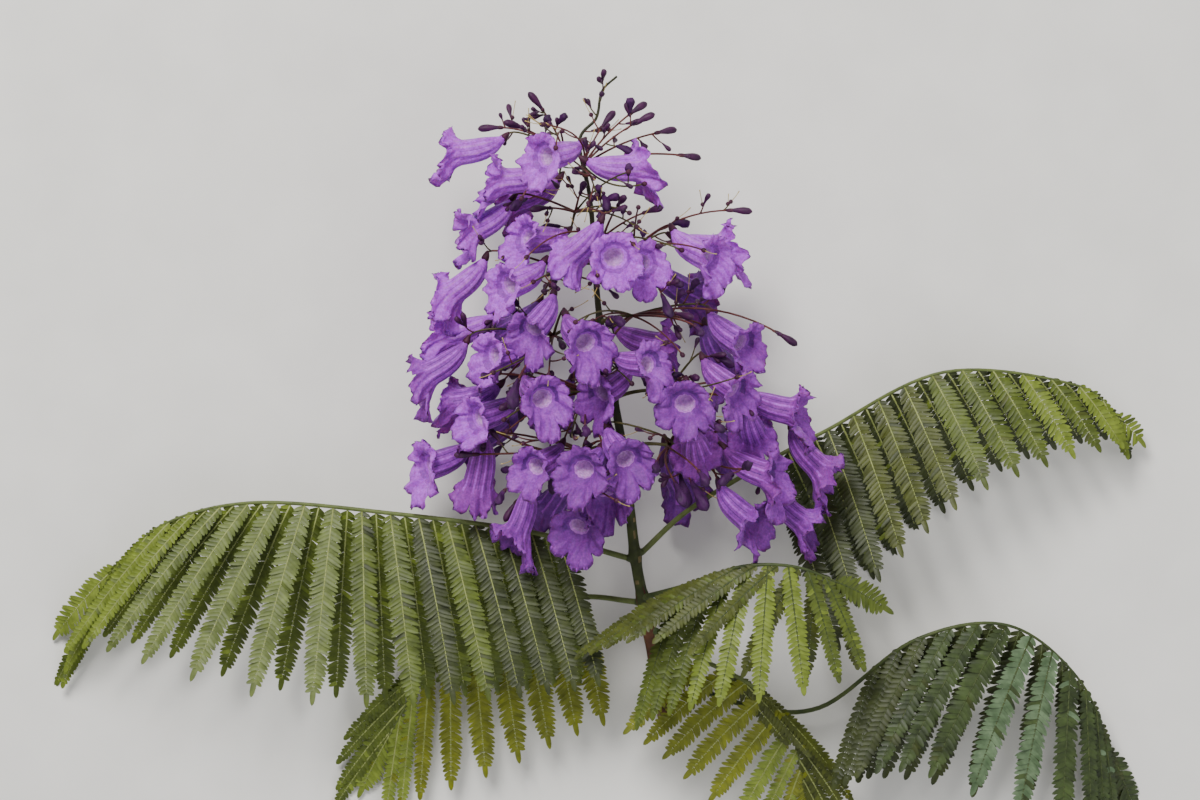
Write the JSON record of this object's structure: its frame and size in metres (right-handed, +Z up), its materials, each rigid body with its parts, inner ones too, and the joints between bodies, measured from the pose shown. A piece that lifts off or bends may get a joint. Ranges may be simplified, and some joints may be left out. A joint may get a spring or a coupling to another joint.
{
  "type": "flowering jacaranda branch",
  "caption": "Cut branch of a flowering tree, lying on its back: a tall head of drooping trumpet blooms over feathery, twice-divided leaves.",
  "frame": {"origin": "middle of the part's outline on the floor that it lies on", "axes": "+X to the right as the picture shows it, +Y along the stem towards the tip of the flower head, +Z up from the floor, towards whoever looks down on the branch"},
  "size_m": [0.5944, 0.4328, 0.1379],
  "materials": {
    "bark": "matt young bark, red-brown at the cut end and dark olive further up",
    "twig": "smooth thin twigs, dark olive to maroon, with dark purple buds",
    "petal": "soft, slightly ribbed petal, lavender-purple with a pale throat",
    "leaf": "satin leaflets, mid green to blue-green and yellow-green"
  },
  "bodies": {
    "root": {"bloom_01": "petal", "bloom_02": "petal", "bloom_03": "petal", "bloom_04": "petal", "bloom_05": "petal", "bloom_06": "petal", "bloom_07": "petal", "bloom_08": "petal", "bloom_09": "petal", "bloom_10": "petal", "bloom_11": "petal", "bloom_12": "petal", "bloom_13": "petal", "bloom_14": "petal", "bloom_15": "petal", "bloom_16": "petal", "bloom_17": "petal", "bloom_18": "petal", "bloom_19": "petal", "bloom_20": "petal", "bloom_21": "petal", "bloom_22": "petal", "bloom_23": "petal", "bloom_24": "petal", "bloom_25": "petal", "bloom_26": "petal", "bloom_27": "petal", "bloom_28": "petal", "bloom_29": "petal", "bloom_30": "petal", "bloom_31": "petal", "bloom_32": "petal", "bloom_33": "petal", "bloom_34": "petal", "bloom_35": "petal", "bloom_36": "petal", "bloom_37": "petal", "bloom_38": "petal", "bloom_39": "petal", "bloom_40": "petal", "bloom_41": "petal", "frond_front": "leaf", "frond_left": "leaf", "frond_low_left": "leaf", "frond_low_middle": "leaf", "frond_low_right": "leaf", "frond_right": "leaf", "spray_foot_left": "twig", "spray_foot_right": "twig", "spray_left": "twig", "spray_low_left": "twig", "spray_low_right": "twig", "spray_middle_left": "twig", "spray_middle_right": "twig", "spray_right": "twig", "spray_top_left": "twig", "spray_top_right": "twig", "spray_upper_front": "twig", "spray_upper_left": "twig", "stem": "bark"}
  },
  "joints": []
}
